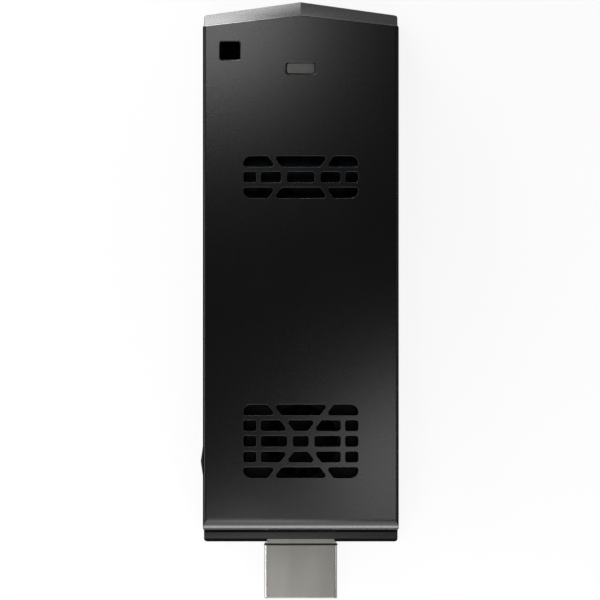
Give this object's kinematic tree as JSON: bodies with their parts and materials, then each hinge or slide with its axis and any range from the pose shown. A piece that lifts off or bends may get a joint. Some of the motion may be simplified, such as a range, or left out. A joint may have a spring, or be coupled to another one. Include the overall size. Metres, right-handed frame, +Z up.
{
  "type": "hdmi stick computer",
  "caption": "Slim black stick computer with an HDMI plug at one end, a roof-shaped other end, vented top cover, side ports, power button and a small blower inside.",
  "frame": {"origin": "centre of the case's flat bottom, midway between the plug end wall and the point of the roof end", "axes": "+X across the case, away from the power button and USB ports; +Y from the plug to the roof end; +Z up through the vented top cover"},
  "size_m": [0.038, 0.1143, 0.0125],
  "materials": {
    "case_black": "satin moulded plastic",
    "button_black": "satin moulded plastic",
    "lens_grey": "smoked light guide",
    "led_cream": "encapsulated chip",
    "plug_steel": "satin plated sheet",
    "port_steel": "plated sheet",
    "insulator_black": "moulded insulator",
    "contact_gold": "gold plated",
    "slider_ivory": "moulded",
    "spring_steel": "drawn wire",
    "switch_dark": "moulded",
    "plunger_grey": "moulded",
    "board_blue": "dark blue solder mask",
    "screw_steel": "zinc plated",
    "nut_brass": "nickel plated",
    "chip_green": "chip carrier with die",
    "chip_black": "moulded package",
    "pad_grey": "soft pad",
    "choke_grey": "pressed ferrite",
    "capacitor_tan": "fired body",
    "can_steel": "plated can",
    "sink_metal": "extruded",
    "fan_black": "moulded",
    "plate_black": "black coated sheet",
    "copper": "copper",
    "bronze": "sintered",
    "lead_red": "wire covering",
    "cable_dark": "cable covering"
  },
  "bodies": {
    "case": {"top_cover": "case_black", "bottom_tray": "case_black", "led_lens": "lens_grey", "led_chip": "led_cream", "hdmi_shell": "plug_steel", "hdmi_shield": "plug_steel", "usb_shell": "port_steel", "micro_usb_shell": "port_steel", "card_cover": "port_steel", "hdmi_insulator": "insulator_black", "usb_tongue": "insulator_black", "micro_usb_tongue": "insulator_black", "card_base": "insulator_black", "hdmi_contacts": "contact_gold", "usb_contacts": "contact_gold", "micro_usb_contacts": "contact_gold", "card_contacts": "contact_gold", "antenna_plug": "contact_gold", "fan_connector": "slider_ivory", "card_spring": "spring_steel", "switch_body": "switch_dark", "main_board": "board_blue", "board_screws": "screw_steel", "cooler_screws": "screw_steel", "cooler_nuts": "nut_brass", "processor": "chip_green", "memory_chips": "chip_black", "storage_chip": "chip_black", "power_regulator": "chip_black", "thermal_pad": "pad_grey", "power_chokes": "choke_grey", "capacitor_row": "capacitor_tan", "clock_crystal": "can_steel", "wireless_module": "can_steel", "heat_sink": "sink_metal", "fan_housing": "fan_black", "fan_plate": "plate_black", "fan_stator": "copper", "antenna": "copper", "fan_bearing": "bronze", "fan_lead": "lead_red", "antenna_cable": "cable_dark"},
    "power_button": {"power_button": "button_black"},
    "switch_plunger": {"switch_plunger": "plunger_grey"},
    "fan_rotor": {"fan_rotor": "fan_black", "fan_shaft": "screw_steel", "fan_magnet": "choke_grey"},
    "card_slider": {"card_slider": "slider_ivory"}
  },
  "joints": [
    {"name": "power_button_press", "type": "slide", "parent": "case", "child": "power_button", "axis": [1, 0, 0], "range_m": [0, 0.0003], "stiffness_N_per_m": 500},
    {"name": "switch_plunger_press", "type": "slide", "parent": "case", "child": "switch_plunger", "axis": [1, 0, 0], "range_m": [0, 0.0003]},
    {"name": "fan_spin", "type": "hinge", "parent": "case", "child": "fan_rotor", "pos_m": [0, -0.03245, 0.0088], "axis": [0, 0, 1], "continuous": true},
    {"name": "card_slider_push", "type": "slide", "parent": "case", "child": "card_slider", "axis": [-1, 0, 0], "range_m": [0, 0.0012], "stiffness_N_per_m": 200, "deforming": ["card_spring"]}
  ],
  "couplings": [
    {"joint": "switch_plunger_press", "follows": "power_button_press", "ratio": 1}
  ]
}
